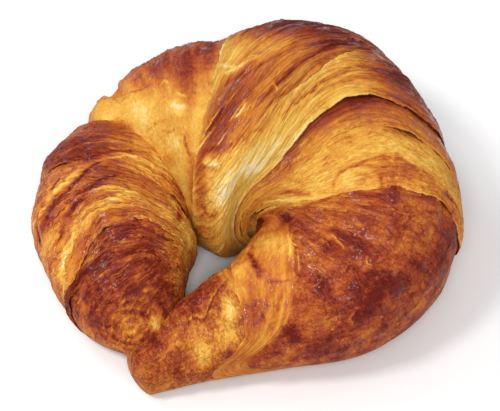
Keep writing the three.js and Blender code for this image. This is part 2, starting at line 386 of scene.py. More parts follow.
def crust_group():
    """Node group for baked, egg-washed dough. The colour is the ramp at bake plus fine noises: lines along the
    grain, crumbs, stains, pores darkened with painted shade in their pits, flakes, and threads with a painted
    shade line in their crease and a painted highlight on their pale lip; the painted shade attribute mixes
    in the shade colour. The coat grows with bake, in patches on the upper side. The height is a sum of the
    same noises."""
    group = bpy.data.node_groups.new("baked crust", "ShaderNodeTree")
    face = group.interface
    for label, value in (("Grain", 0.07), ("Threads", 0.1), ("Speckle", 0.06), ("Gloss", 0.5), ("Blister", 0.5)):
        face.new_socket(label, in_out="INPUT", socket_type="NodeSocketFloat").default_value = value
    face.new_socket("Colour", in_out="OUTPUT", socket_type="NodeSocketColor")
    for label in ("Roughness", "Coat", "Height"):
        face.new_socket(label, in_out="OUTPUT", socket_type="NodeSocketFloat")
    nodes, links = group.nodes, group.links

    def add(kind, settings=None, **inputs):
        """A node with its settings; an input (i0, i1 by place) is joined to a socket or set to a value."""
        node = nodes.new(kind)
        for key, value in (settings or {}).items():
            setattr(node, key, value)
        for key, value in inputs.items():
            place = int(key[1:]) if key[0] == "i" and key[1:].isdigit() else key.replace("_", " ")
            if isinstance(value, bpy.types.NodeSocket):
                links.new(value, node.inputs[place])
            else:
                node.inputs[place].default_value = value
        return node

    def times(a, b, more=0.0):
        """a * b + more."""
        return add("ShaderNodeMath", {"operation": "MULTIPLY_ADD"}, i0=a, i1=b, i2=more).outputs[0]

    def fade(value, first, last, start=0.0):
        """start where value is first, 1 where it is last, straight between them and level beyond."""
        return add("ShaderNodeMapRange", Value=value, From_Min=first, From_Max=last, To_Min=start).outputs[0]

    def near(value, level, reach):
        """1 where value is level, falling straight to 0 at reach on either side."""
        return times(fade(value, level - reach, level), fade(value, level + reach, level))

    def cloud(place, scale, detail, roughness, distortion=0.0):
        """Noise from 0 to 1, with lumps 1/scale metres apart."""
        return add("ShaderNodeTexNoise", Vector=place, Scale=scale, Detail=detail, Roughness=roughness,
                   Distortion=distortion).outputs["Fac"]

    given = add("NodeGroupInput").outputs
    grain, threads, speckle, gloss, blister = (given[k] for k in range(5))
    bake = add("ShaderNodeAttribute", {"attribute_name": "bake"}).outputs["Fac"]
    painted_shade = add("ShaderNodeAttribute", {"attribute_name": "painted_shade"}).outputs["Fac"]
    place = add("ShaderNodeTexCoord").outputs["Object"]
    lengths = add("ShaderNodeUVMap", {"uv_map": "grain"}).outputs["UV"]
    drawn = add("ShaderNodeMapping", i0=lengths, Scale=(1.0, 0.2, 1.0)).outputs[0]
    short = add("ShaderNodeMapping", i0=lengths, Scale=(1.0, 0.4, 1.0)).outputs[0]
    lines, strands = cloud(drawn, 900.0, 5.0, 0.6), cloud(drawn, 480.0, 4.0, 0.6, 0.3)
    crumbs, pores = cloud(short, 1400.0, 4.0, 0.7), cloud(short, 900.0, 3.0, 0.7)
    stains, blisters = cloud(place, 220.0, 4.0, 0.6), cloud(place, 420.0, 3.0, 0.5)
    crease, lip = near(strands, 0.50, 0.035), near(strands, 0.55, 0.035)
    pore, flake = fade(pores, 0.56, 0.68), fade(pores, 0.42, 0.32)
    tone = bake
    # In the tone, the thread crease is a painted shade line, its pale lip a painted highlight, and the pores are
    # darkened as painted shade in their pits.
    for noise, centre, strength in (
        (lines, 0.5, times(grain, 4.0)), (crumbs, 0.5, times(speckle, 4.0)), (stains, 0.5, 0.35),
        (pore, 0.0, times(speckle, 1.6)), (flake, 0.0, times(speckle, -1.6)),
        (crease, 0.0, times(threads, 1.1)), (lip, 0.0, times(threads, -1.0)),
    ):
        tone = times(times(noise, 1.0, -centre), strength, tone)
    height = 0.0
    for noise, strength in (
        (lines, times(grain, 9.0)), (blisters, blister), (crumbs, 0.55), (pore, -0.12),
        (fade(strands, 0.50, 0.54), times(threads, 2.6)), (crease, times(threads, -1.4)),
    ):
        height = times(noise, strength, height)
    colours = add("ShaderNodeValToRGB", Fac=tone)
    elements = colours.color_ramp.elements
    for k, (position, *rgb) in enumerate(CRUST_COLOURS):
        stop = elements[k] if k < 2 else elements.new(position)
        stop.position = position
        stop.color = (*[(0.97 * v / 255) ** 2.2 for v in rgb], 1)
    # The painted shade attribute mixes the ramp colour towards the shade colour.
    dark = add("ShaderNodeMix", {"data_type": "RGBA"}, i0=fade(painted_shade, 0.0, 1.0), i6=colours.outputs["Color"],
               i7=SHADE_COLOUR)
    shine = times(fade(bake, 0.15, 0.7), gloss)
    upward = add("ShaderNodeSeparateXYZ", Vector=place).outputs[2]
    coat = times(times(shine, fade(stains, 0.48, 0.62, 0.03)), fade(upward, 0.012, 0.036, 0.15))
    rough = times(shine, -0.22, times(crumbs, 0.2, 0.50))
    out = nodes.new("NodeGroupOutput").inputs
    for label, socket in (("Colour", dark.outputs[2]), ("Roughness", rough), ("Coat", coat), ("Height", height)):
        links.new(socket, out[label])
    return group


CRUST = crust_group()


def crust_material(name, *strengths):
    """Baked crust with a wrap's own grain, threads, speckle, gloss and blisters, in this order."""
    material = bpy.data.materials.new(name)
    material.use_nodes = True
    nodes, links = material.node_tree.nodes, material.node_tree.links
    shader = nodes["Principled BSDF"]
    crust = nodes.new("ShaderNodeGroup")
    crust.node_tree = CRUST
    for k, value in enumerate(strengths):
        crust.inputs[k].default_value = value
    relief = nodes.new("ShaderNodeBump")
    relief.inputs["Strength"].default_value = 0.8
    relief.inputs["Distance"].default_value = 0.0009
    for label, value in (("Coat Roughness", 0.13), ("Coat IOR", 1.5), ("Specular IOR Level", 0.08)):
        shader.inputs[label].default_value = value
    for label, target in (("Colour", "Base Color"), ("Roughness", "Roughness"), ("Coat", "Coat Weight")):
        links.new(crust.outputs[label], shader.inputs[target])
    links.new(crust.outputs["Height"], relief.inputs["Height"])
    links.new(relief.outputs["Normal"], shader.inputs["Normal"])
    return material


def bake_wrap(name, cuts, edges, form, crust, rows=160, columns=260, seed=1):
    """Makes one wrap, puts its crust on and lets it ride with the croissant in place of the solid."""
    piece = bpy.data.objects.new(name, closed_mesh(name, *wrap_grid(cuts, edges, form, rows, columns, seed)))
    piece.data.materials.append(crust_material(*crust))
    bpy.context.collection.objects.link(piece)
    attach(piece, "root")
    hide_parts("croissant")


def rise(s, start, end, swell):
    """Height of a wrap from end to end: a straight line from start to end, swollen between them."""
    return start + (end - start) * s + swell * 4 * s * (1 - s)


def ridges(x, y, seed):
    """Thin winding lines where the skin wrinkled: (1 - |noise|)^14, from 0 to 1."""
    return np.clip(1 - np.abs(layered(x, y, seed, 3, 0.5)), 0, 1) ** 14


MOTTLE = {"blots": (3, 0.55), "mottle": (4, 0.55), "fine mottle": (5, 0.55), "crumb": (4, 0.7)}  # octaves, gain


def pattern_sum(across, along, rows):
    """What the patterns that cover a wrap add to its height, in mm, and to its browning. A row is (kind,
    seed, breadth, length, relief, browning), in mm. Streaks run along the grain, wrinkles are ridges, flakes
    give their terraces to the height and their borders to the browning, the others are layered noise."""
    height, bake = 0, 0
    for kind, seed, breadth, length, relief, browning in rows:
        x, y = across / breadth, along / length
        if kind == "flakes":
            bumps, tone = flakes(x, y, seed)
        elif kind == "streaks":
            bumps = tone = streaks(across, along, seed, breadth, length)
        else:
            bumps = tone = ridges(x, y, seed) if kind == "wrinkles" else layered(x, y, seed, *MOTTLE[kind])
        height, bake = height + relief * bumps, bake + browning * tone
    return height, bake


def inside_bend(t, angle):
    """How far the wraps, squeezed together inside the bend, swell into the ring, in mm: 4 * exp(-((t -
    7.4) / 2.2)^4 - ((angle + 1.35) / 0.55)^2)."""
    return 4 * np.exp(-(((t - 7.4) / 2.2) ** 4) - ((angle + 1.35) / 0.55) ** 2)


def plain(look, cuts, s, t, angle):
    """Height in mm, browning, painted shade and the grain's lengths in mm of a wrap with this look. The look
    holds its base browning, its rise (height at the first edge, at the last, and swelling between), its grain
    (mm of one step along, counted in cuts or from edge to edge, and of one radian round), patterns and
    patches; some have strokes, the swelling inside the bend, and sheets (stretch, pitch, seed, relief,
    browning by tone, by edge and by the painted shade under their edges, and shade colour by that painted
    shade). All of it is added up."""
    across, along = look["grain"][0] * (t if "by_cuts" in look else s), look["grain"][1] * angle
    height, bake = pattern_sum(across, along, look["patterns"])
    height, bake = height + rise(s, *look["rise"]), bake + look["base"] + patches(t, angle, look["patches"])
    painted_shade = 0 * s
    if "strokes" in look:
        drawn, lifted = strokes(cuts, t, angle, look["strokes"], look["seed"])
        height, bake = height + lifted, bake + drawn
    if "sheets" in look:
        stretch, pitch, seed, relief, by_tone, by_edge, by_shade, depth = look["sheets"]
        tone, edge, shade, step = sheets(stretch * across, along, pitch, seed)
        height, bake = height + relief * step, bake + by_tone * tone + by_edge * edge + by_shade * shade
        painted_shade = depth * shade
    return height + inside_bend(t, angle) * ("bent" in look), bake, painted_shade, across, along


# Where the wrap ends, in cuts, at five places from the inner side over the crest to the outer side; where
# the seam there gapes, as (angle, reach, depth); and the height in mm where both sides meet.
TIP_SEAM = ([9.9, 10.15, 10.33, 10.5, 11.1], [(0.45, 0.35, 0.4), (-0.4, 0.2, 0.15)], 0)
# Patches browner or paler than the rest: (t, angle, reach in t, reach in angle, slant, browning).
TIP_BROWNING = [
    (10.92, -0.6, 0.42, 0.58, 0, 0.14), (10.68, 0.55, 0.14, 0.3, 0.3, -0.32), (10.54, 0.12, 0.1, 0.25, 0.3, -0.4),
    (11.1, 0.85, 0.13, 0.4, 0, -0.26), (11.5, 0.95, 0.2, 0.45, 0, 0.22), (11.7, -0.25, 0.1, 0.3, 0, 0.25),
    (11.45, -0.85, 0.06, 0.3, 0, -0.3), (10.3, -0.25, 0.1, 0.18, 0, -0.22), (10.75, 1.05, 0.07, 0.12, 0, 0.3),
    (11.8, 0.3, 0.35, 1.4, 0, 0.14), (11.2, 1.6, 0.5, 0.3, 0, 0.1), (10.35, -0.6, 0.12, 0.5, 0.2, -0.1),
]
TIP_LOOK = dict(
    base=0.56, rise=(-0.4, 0, 0.2), grain=(16, 14), by_cuts=True, patches=TIP_BROWNING,
    patterns=[("streaks", 11, 1.6, 9, 0.25, 0.12), ("mottle", 21, 3, 3, 0.35, 0.13),
              ("wrinkles", 71, 5, 9, 0.3, -0.15), ("flakes", 74, 6, 8, 0.3, -0.12)],
)
# The outer edge of the raised plate on the tip, as (t, angle).
TIP_PLATE = [
    (10.3, -0.55), (10.44, -0.43), (10.7, -0.17), (10.9, 0.03), (11.04, -0.03), (11.26, -0.16), (11.6, -0.3),
]
PLATE_RELIEF, PLATE_BROWNING = 0.6, 0.18


def tip_form(s, t, angle):
    """The tip: its plain look and, inside the line TIP_PLATE, a raised, browner plate with a torn edge."""
    height, bake, _, across, along = plain(TIP_LOOK, BODY_CUTS, s, t, angle)
    line = np.interp(t, *np.transpose(TIP_PLATE)) + 0.05 * layered(across / 2, 0 * t, 72)
    plate = ramp(line - angle, -0.03, 0.06) * ramp(angle, -1.5, -1.1)
    plate = plate * ramp(t, 10.3, 10.5) * (1 - ramp(t, 11.4, 11.7))
    torn, raised, gap = flaps(BODY_CUTS, t, angle, [(0.8, TIP_PLATE[::-1])], 96)
    height, bake = height + PLATE_RELIEF * (plate + raised), bake + PLATE_BROWNING * plate + torn
    # The whole tip takes a little of the shade colour, and the gap under the plate's torn edge takes painted shade.
    return height, bake, 0.04 + 0.7 * gap, across, 1.8 * along


bake_wrap("right_tip", BODY_CUTS, [("tuck", *TIP_SEAM), ("cap", 12, None, 2.5)], tip_form,
          ("tip crust", 0.05, 0.10, 0.10, 0.6, 0.8), rows=170, columns=240, seed=3)

# The front wrap: the next turn, a pale wedge of dough that the big right wrap leaves bare.
# Stretched thin when the roll was bent, so it baked pale and smooth, with fine streaks.
FRONT_SEAM = ([7.6, 8.66, 9.44, 9.95, 10.5], [(-0.85, 0.09, 0.6), (0.1, 0.5, 0.05)], 0)
FRONT_BROWNING = [
    (9.3, -0.55, 0.45, 0.42, -0.5, -0.2), (9.95, -0.5, 0.06, 0.3, -0.3, -0.12), (10.0, 0.55, 0.2, 0.35, 0.9, 0.1),
    (10.2, 0.42, 0.18, 0.45, 0.3, 0.08), (8.6, -1.3, 0.5, 0.22, 0, 0.08), (10.0, 0.8, 0.5, 0.45, 0, -0.16),
    (10.1, -0.45, 0.1, 0.22, 0, -0.2), (10.28, -0.08, 0.1, 0.1, 0, -0.2),
]
# Marks drawn along given lines: (width in mm, browning, rise in mm, [t, angle, t, angle ...]).
FRONT_STROKES = [
    (0.9, 0.46, -0.4, [9.92, -0.1, 9.84, -0.3, 9.78, -0.57, 9.7, -0.9]),
    (0.6, 0.25, -0.15, [9.62, -0.75, 9.55, -1.05]),
    (2.4, 0.16, 0.1, [10.18, 0.08, 10.26, 0.35, 10.4, 0.7, 10.5, 0.9]),
    (0.6, -0.14, 0.3, [9.5, -0.05, 9.78, 0.32, 9.95, 0.62, 10.1, 0.95]),
    (0.5, 0.16, -0.2, [9.62, 0.02, 9.88, 0.36, 10.03, 0.65, 10.16, 0.95]),
    (0.6, -0.12, 0.25, [9.78, 0.08, 9.99, 0.4, 10.1, 0.68]),
    (0.5, 0.16, -0.2, [9.94, 0.1, 10.08, 0.36, 10.18, 0.6]),
    (0.4, 0.22, -0.25, [9.52, 0.08, 9.7, 0.03, 9.86, -0.04]),
    (0.4, -0.25, 0.2, [8.9, -0.62, 9.15, -0.4, 9.35, -0.18]),
]
FRONT_LOOK = dict(
    base=0.53, rise=(-1.0, 0.4, 0.3), grain=(16, 20), bent=True,
    patches=FRONT_BROWNING, strokes=FRONT_STROKES, seed=82,
    patterns=[("streaks", 12, 1.2, 12, 0.066, 0.056), ("mottle", 22, 4, 5, 0.12, 0.05)],
)


def front_form(s, t, angle):
    """The wedge: its plain look, with stronger streaks on its outer side."""
    height, bake, painted_shade, across, along = plain(FRONT_LOOK, BODY_CUTS, s, t, angle)
    outer = ramp(angle, -0.6, 0.2) * streaks(across, along, 12, 1.2, 12)
    return height + 0.154 * outer, bake + 0.104 * outer, painted_shade, across, along


bake_wrap("front_wrap", BODY_CUTS, [("tuck", *FRONT_SEAM), ("lip", *TIP_SEAM)], front_form,
          ("front crust", 0.03, 0.03, 0.06, 0.6, 0.4), rows=150, columns=260, seed=5)

# The right wrap: the big turn that makes the right shoulder and side.
# It stood highest in the oven and took most of the egg wash: dark, blistered and glossy.
RIGHT_SEAM = ([6.95, 7.85, 7.5, 7.48, 7.6], [(0.9, 0.3, 0.1), (1.4, 0.25, 0.6)], 0)
RIGHT_BROWNING = [
    (8.9, 0.62, 0.4, 0.32, 0, 0.22), (9.1, 1.0, 0.18, 0.2, 0, 0.16), (9.88, 0.98, 0.13, 0.2, 0, 0.26),
    (8.55, 0.1, 0.25, 0.16, 0, 0.12), (9.35, 0.35, 0.2, 0.12, 0.5, 0.1), (7.95, -0.15, 0.3, 0.2, 0, -0.08),
    (8.0, -0.75, 0.35, 0.3, 0, -0.18), (9.1, -0.25, 0.25, 0.3, 0.8, -0.1), (8.1, -0.35, 0.35, 0.2, 0, -0.08),
    (7.5, -1.3, 0.5, 0.14, 0.3, 0.08), (8.5, 1.3, 1.2, 0.55, 0, 0.06), (8.0, 1.05, 0.4, 0.3, 0, 0.13),
    (8.4, 0.55, 0.5, 0.25, 0, -0.03), (9.5, 1.3, 0.6, 0.45, 0, -0.03), (8.1, 0.3, 0.25, 0.2, 0, 0.04),
    (7.3, -0.85, 0.5, 0.4, 0, -0.36), (7.1, -1.25, 0.5, 0.3, 0, -0.3),
]
# The pale rows are painted highlights: short glints on raised wrinkles of the egg wash. The brown row is a dark spot.
RIGHT_STROKES = [
    (0.22, -0.4, 0.3, [9.0, -0.5, 9.14, -0.36, 9.24, -0.2]),
    (0.22, -0.35, 0.3, [9.16, -0.24, 9.28, -0.1, 9.42, 0.04]),
    (1.0, 0.6, -0.5, [8.34, -0.84, 8.46, -0.78, 8.6, -0.7]), (0.3, -0.34, 0.5, [8.58, -0.1, 8.66, 0.0, 8.72, 0.1]),
    (0.3, -0.34, 0.5, [8.6, 0.3, 8.68, 0.38, 8.66, 0.46]), (0.35, -0.2, 0.4, [8.8, 0.2, 8.92, 0.28, 9.02, 0.3]),
    (0.3, -0.32, 0.5, [9.2, 0.2, 9.32, 0.28, 9.44, 0.3]), (0.35, -0.2, 0.4, [7.82, 0.42, 7.95, 0.4, 8.05, 0.34]),
    (0.35, -0.2, 0.4, [8.1, -0.05, 8.3, -0.02, 8.45, -0.08]), (0.35, -0.2, 0.4, [7.75, 0.15, 7.85, 0.3, 7.8, 0.5]),
    (0.35, -0.2, 0.4, [9.15, 0.85, 9.25, 0.95, 9.22, 1.1]), (0.35, -0.18, 0.3, [9.4, 0.75, 9.5, 0.85, 9.48, 0.98]),
]
RIGHT_LOOK = dict(
    base=0.75, rise=(-0.9, 1.0, 0.9), grain=(15, 30), by_cuts=True, bent=True, patches=RIGHT_BROWNING,
    strokes=RIGHT_STROKES, seed=83,
    patterns=[("streaks", 13, 1.7, 9, 0.2, 0.17), ("fine mottle", 23, 6, 6, 0.4, 0.14),
              ("mottle", 33, 2.2, 3.2, 0.16, 0.09), ("flakes", 75, 8, 12, 0.25, -0.08)],
)


def right_form(s, t, angle):
    """The right wrap: its plain look, wrinkles where the mottle is dark, stronger spots on the dry outer side
    and a paler first edge."""
    height, bake, painted_shade, across, along = plain(RIGHT_LOOK, BODY_CUTS, s, t, angle)
    wrinkles = ridges(across / 4, along / 6, 73) * ramp(layered(across / 6, along / 6, 23, 5), -0.3, 0.5)
    dry = 0.06 * ramp(angle, 1.0, 1.5) * layered(across / 2.2, along / 3.2, 33)
    bake = bake - 0.08 * wrinkles + dry - 0.17 * np.exp(-s / 0.08)
    return height + 0.2 * wrinkles, bake, painted_shade, across, 1.4 * along


bake_wrap("right_wrap", BODY_CUTS, [("tuck", *RIGHT_SEAM), ("lip", *FRONT_SEAM)], right_form,
          ("right crust", 0.07, 0.08, 0.08, 0.42, 0.55), rows=270, columns=340, seed=7)

# The pale wrap: the turn before it, whose surface tore open as it rose.
# Bare rough dough that baked golden, with brown arcs where the skin held.
PALE_SEAM = ([6.4, 6.68, 6.33, 6.8, 7.15], [(0.5, 0.25, 0.35), (-0.1, 0.3, 0.05)], 0)
TORN_PLACE = (7.45, -0.13)
PALE_BROWNING = [
    (7.2, 0.16, 0.3, 0.24, 0, 0.26), (7.42, -0.15, 0.16, 0.09, 0, -0.2), (6.5, 0.5, 0.14, 0.45, 0.3, 0.1),
    (7.3, 0.55, 0.2, 0.25, 0.6, 0.2), (7.55, 0.55, 0.07, 0.1, 0, -0.2), (7.5, 1.0, 0.1, 0.3, 0, 0.25),
    (6.9, -1.2, 0.7, 0.4, 0, 0.14), (7.0, 1.9, 0.9, 0.6, 0, 0.3), (7.35, -0.75, 0.3, 0.1, 0.5, 0.16),
    (7.6, 0.1, 0.08, 0.5, 0, 0.08), (6.95, 1.15, 0.3, 0.3, 0, 0.12),
]
PALE_STROKES = [
    (0.6, 0.22, -0.15, [7.3, 0.5, 7.02, 0.3, 6.98, 0.05, 7.1, -0.18, 7.35, -0.3, 7.6, -0.3]),
    (0.6, 0.16, -0.1, [7.1, -0.85, 7.35, -0.78, 7.58, -0.55]),
    (0.6, 0.12, -0.1, [6.9, -0.7, 7.1, -0.62, 7.3, -0.62]),
    (0.45, -0.25, 0.2, [7.1, -1.12, 7.35, -1.02, 7.6, -0.88, 7.7, -0.6, 7.7, -0.3]),
    (0.8, 0.4, -0.3, [7.36, 0.78, 7.37, 0.95, 7.4, 1.15]),
]
PALE_LOOK = dict(
    base=0.27, rise=(-1.2, 0.9, 0.5), grain=(20, 34), bent=True, patches=PALE_BROWNING, strokes=PALE_STROKES, seed=84,
    sheets=(1.1, 3.5, 54, 0.25, 0.05, -0.06, 0.12, 0),
    patterns=[("streaks", 14, 1.3, 14, 0.12, 0.08), ("crumb", 24, 1.6, 2.2, 0.14, 0.07)],
)


def pale_form(s, t, angle):
    """The pale wrap: its plain look, browner at its last edge, with a ring of brown fibres 6 mm round
    TORN_PLACE."""
    height, bake, painted_shade, across, along = plain(PALE_LOOK, BODY_CUTS, s, t, angle)
    off = np.hypot((t - TORN_PLACE[0]) * 22, (angle - TORN_PLACE[1]) * 30)
    fibres = streaks(off, 22 * t, 34, 1.2, 9) * np.exp(-(((off - 6) / 4.5) ** 2)) * ramp(angle, -0.3, 0.1)
    return height - 0.2 * fibres, bake + 0.26 * fibres + 0.16 * np.exp((s - 1) / 0.12), painted_shade, across, along


bake_wrap("pale_wrap", BODY_CUTS, [("tuck", *PALE_SEAM), ("lip", *RIGHT_SEAM)], pale_form,
          ("pale crust", 0.04, 0.05, 0.11, 0.4, 0.6), rows=170, columns=340, seed=9)

# The belt: a narrow glossy band between the pale wrap and the middle one.
# The same egg-washed skin as the middle, sunk behind its rim.
MIDDLE_SEAM = ([5.7, 6.1, 5.77, 6.34, 6.55], [(0.15, 0.4, 0.66), (-0.4, 0.25, 0.25), (0.85, 0.3, 0.25)], 0.1)
BELT_BROWNING = [
    (6.05, 0.35, 0.2, 0.4, 0.4, 0.12), (5.95, 0.05, 0.12, 0.4, 0.5, 0.1), (6.2, -0.6, 0.16, 0.22, 0, 0.08),
    (6.3, -1.35, 0.6, 0.45, 0, -0.2), (6.5, 1.8, 0.8, 0.5, 0, 0.1), (6.25, -0.15, 0.2, 0.4, 0, -0.13),
]
# Painted highlights: pale glints on the glossy belt.
BELT_HIGHLIGHTS = [
    (0.45, -0.18, 0.25, [6.02, -0.3, 6.08, -0.36, 6.12, -0.42]),
    (0.45, -0.18, 0.25, [6.3, -0.4, 6.36, -0.48, 6.34, -0.56]),
    (0.4, -0.18, 0.25, [6.14, -0.6, 6.24, -0.66, 6.34, -0.7]),
    (0.4, -0.18, 0.25, [6.05, -0.92, 6.2, -0.95, 6.4, -0.88]),
]
BELT_LOOK = dict(
    base=0.54, rise=(-1.2, 0.8, 0.3), grain=(9, 34), bent=True, patches=BELT_BROWNING, strokes=BELT_HIGHLIGHTS, seed=85,
    patterns=[("streaks", 15, 1.0, 16, 0.2, 0.13)],
)

bake_wrap("belt_wrap", BODY_CUTS, [("tuck", *MIDDLE_SEAM), ("lip", *PALE_SEAM)],
          partial(plain, BELT_LOOK, BODY_CUTS), ("belt crust", 0.05, 0.07, 0.04, 0.8, 0.5),
          rows=90, columns=340, seed=11)

# The neck: where the left arm was bent off the body and the skin stretched.
# Pale torn dough on top, browned skin with upright streaks at the back.
NECK_SEAM = ([1.95, 2.2, 2.75, 2.93, 2.9], [(0.5, 0.3, 0.25)], -0.3)
NECK_BROWNING = [
    (2.15, 0.27, 0.34, 0.38, 0, 0.52), (1.42, 0.4, 0.2, 0.36, 0, 0.4), (1.74, 0.4, 0.16, 0.36, 0, 0.26),
    (2.6, 0.5, 0.2, 0.4, 0, 0.34), (2.0, 0.9, 1.0, 0.3, 0, 0.26), (1.0, 0.55, 0.3, 0.3, 0, 0.2),
    (0.62, 0.0, 0.34, 0.2, 0, -0.2), (1.7, -0.14, 0.35, 0.11, -0.05, -0.24), (1.35, -0.5, 0.28, 0.14, 0, -0.18),
    (2.08, -1.05, 0.2, 0.45, -0.3, 0.25), (1.1, -0.78, 0.3, 0.08, 0, 0.12), (0.1, -0.02, 0.18, 0.14, -0.6, 0.3),
    (0.3, 0.95, 0.4, 0.4, 0, 0.14), (1.5, 1.8, 1.5, 0.6, 0, 0.35),
]
# The pale rows are pale torn dough with painted highlights on it; the brown rows are streaks.
NECK_STROKES = [
    (0.35, -0.3, 0.2, [1.4, 0.15, 1.5, 0.17, 1.62, 0.12]), (0.5, 0.2, -0.1, [1.0, -0.36, 1.3, -0.4, 1.6, -0.36]),
    (0.6, -0.25, 0.2, [1.55, -0.1, 1.8, -0.14, 2.1, -0.16]),
    (0.35, -0.35, 0.3, [1.75, 0.02, 1.95, -0.04, 2.15, -0.06]),
    (0.5, 0.22, -0.15, [0.3, 0.55, 0.7, 0.35, 1.1, 0.22]), (0.5, 0.3, -0.15, [1.86, -0.45, 1.9, -0.6, 2.05, -0.7]),
    (0.5, 0.18, -0.12, [0.5, -0.25, 0.9, -0.22, 1.3, -0.24]),
]
NECK_LOOK = dict(
    base=0.28, rise=(-1.5, -1.0, 0.4), grain=(15, 22), by_cuts=True,
    patches=NECK_BROWNING, strokes=NECK_STROKES, seed=86,
    patterns=[("streaks", 16, 1.4, 12, 0.1, 0), ("blots", 46, 7, 6, 0, 0.1), ("mottle", 26, 4, 4, 0.6, 0.08)],
)


def neck_form(s, t, angle):
    """The neck: its plain look; torn sheets on top; at the back streaks, crags and more browning away from
    the left arm; and on the outer side a step down between t 0.3 and 0.6, where its outline is notched."""
    height, bake, _, across, along = plain(NECK_LOOK, BODY_CUTS, s, t, angle)
    tone, edge, shade, step = sheets(along, across, 4.0, 56)
    crag, border = flakes(across / 6, along / 6, 79, 4)
    back = ramp(angle, 0.0, 0.35)
    outer = ramp(angle, 0.3, 0.5) * (1 - ramp(angle, 1.7, 2.1))
    notch = 1.9 * ramp(t, 0.28, 0.34) * (1 - ramp(t, 0.6, 0.66)) - 0.9 * np.exp(-(((t - 0.12) / 0.14) ** 2))
    height = height + 0.3 * step * (1 - back) - notch * outer + 0.6 * crag * (0.3 + 0.7 * back)
    height = height + 0.35 * np.abs(layered(across / 3, along / 8, 66)) * back
    bake = bake + 0.1 * streaks(across, along, 16, 1.4, 12) * back + 0.04 * tone - 0.08 * border
    bake = bake + (0.14 * back + 0.2 * ramp(angle, 0.6, 1.1)) * ramp(t, 0.4, 0.9)
    bake = bake + (0.06 * shade - 0.02 * edge) * (1 - back)
    # The top and front of the neck take a little of the shade colour, evenly.
    return height, bake, 0.07 * (1 - back), across, 2.5 * along


bake_wrap("neck_wrap", BODY_CUTS, [("cap", 0, None, 5.0), ("tuck", *NECK_SEAM)], neck_form,
          ("neck crust", 0.006, 0.004, 0.09, 0.45, 0.8), rows=170, columns=280, seed=13)

# The left tip: the other inner end of the roll, coiled like a snail and pressed under the right tip.
# Dark mottled crust with fine rings round the end of the coil.
# The left arm's cuts from its tip to the neck, as for the body.
ARM_CUTS = np.array([
    [-2.7, -31, -2.4, -52.1],
    [-6.1, -23.9, -20.3, -55.9],
    [-7.3, -17.9, -35.1, -49],
    [-13.5, -11.1, -50, -37.9],
    [-19.9, -2.2, -57.4, -22.1],
    [-26.4, 7.1, -59.6, -7.3],
])
LEFT_TIP_SEAM = ([0.55, 0.7, 1.2, 1.32, 1.3], [(0.7, 0.6, 0.06)], 0)
LEFT_TIP_BROWNING_AND_PAINTED_LIGHT = [
    # The paler patch at (0.6, -1.0), low on the inner side that faces the ring, is painted light standing in for
    # light thrown back into the ring.
    (0.33, 0.8, 0.2, 0.26, 0, -0.26), (0.9, 0.9, 0.3, 0.5, 0, 0.08), (0.6, -1.0, 0.6, 0.4, 0, -0.34),
    (0.02, 0.35, 0.12, 0.25, 0, -0.36), (0.7, 0.0, 0.4, 0.4, 0, 0.08), (1.1, 0.3, 0.12, 0.6, 0, 0.12),
    (0.6, 1.7, 0.6, 0.25, 0, -0.16),
]
COIL_CENTRE = (0.31, 0.82)
COIL_PITCH = 2.6
LEFT_TIP_LOOK = dict(
    base=0.73, rise=(0, -0.6, 0.3), grain=(14, 16), by_cuts=True, patches=LEFT_TIP_BROWNING_AND_PAINTED_LIGHT,
    patterns=[("streaks", 17, 1.5, 7, 0.25, 0.1), ("fine mottle", 27, 3, 3, 0.3, 0.17),
              ("flakes", 77, 4, 6, 0.25, -0.14)],
)


def coil(points, centre):
    """Rings round a centre: the cosine of the distance over the pitch, plus the turn, fading outwards."""
    offset = points - centre
    distance = np.linalg.norm(offset, axis=-1)
    turn = np.arctan2(offset[..., 2], offset[..., 0])
    return np.cos(2 * pi * distance / COIL_PITCH + turn) * (1 - ramp(distance, 6, 13))


def left_tip_form(s, t, angle):
    """The left tip: its plain look and the rings of the coil round COIL_CENTRE."""
    height, bake, painted_shade, across, along = plain(LEFT_TIP_LOOK, ARM_CUTS, s, t, angle)
    centre = roll_surface(ARM_CUTS, np.array([COIL_CENTRE[0]]), np.array([COIL_CENTRE[1]]), 0)[0]
    rings = coil(roll_surface(ARM_CUTS, t, angle, 0), centre)
    return height + 0.35 * rings, bake + 0.1 * rings, painted_shade, across, along


bake_wrap("left_tip", ARM_CUTS, [("cap", 0, None, 2.0), ("tuck", *LEFT_TIP_SEAM)], left_tip_form,
          ("left tip crust", 0.06, 0.10, 0.12, 0.6, 0.9), rows=130, columns=260, seed=15)

# The dark wrap: the turn over the left tip, the darkest of all.
# Egg wash pooled along its edge and burned to deep red brown.
DARK_SEAM = ([1.1, 1.7, 2.15, 1.6, 1.5], [(0.55, 0.5, 0.12)], 0.1)
DARK_BROWNING_AND_PAINTED_LIGHT = [
    # The paler patch at (1.5, -1.2), low on the inner side that faces the ring, is painted light standing in for
    # light thrown back into the ring.
    (1.4, 0.55, 0.13, 0.7, 0, 0.16), (1.62, 0.55, 0.1, 0.16, -0.6, -0.3), (1.5, -1.2, 0.9, 0.52, 0, -0.46),
    (1.5, -0.3, 0.35, 0.3, -0.3, 0.06), (1.95, 0.05, 0.15, 0.2, 0, 0.1),
]
DARK_LOOK = dict(
    base=0.80, rise=(0.6, -0.5, 0.4), grain=(14, 20), patches=DARK_BROWNING_AND_PAINTED_LIGHT,
    patterns=[("streaks", 18, 1.3, 9, 0.22, 0.1), ("fine mottle", 28, 3, 4, 0.3, 0.14),
              ("wrinkles", 78, 4, 6, 0.2, -0.16), ("flakes", 76, 5, 9, 0.25, -0.12)],
)


def dark_form(s, t, angle):
    """The dark wrap: its plain look, paler at its last edge."""
    height, bake, painted_shade, across, along = plain(DARK_LOOK, ARM_CUTS, s, t, angle)
    return height, bake - 0.14 * np.exp((s - 1) / 0.15), painted_shade, across, along


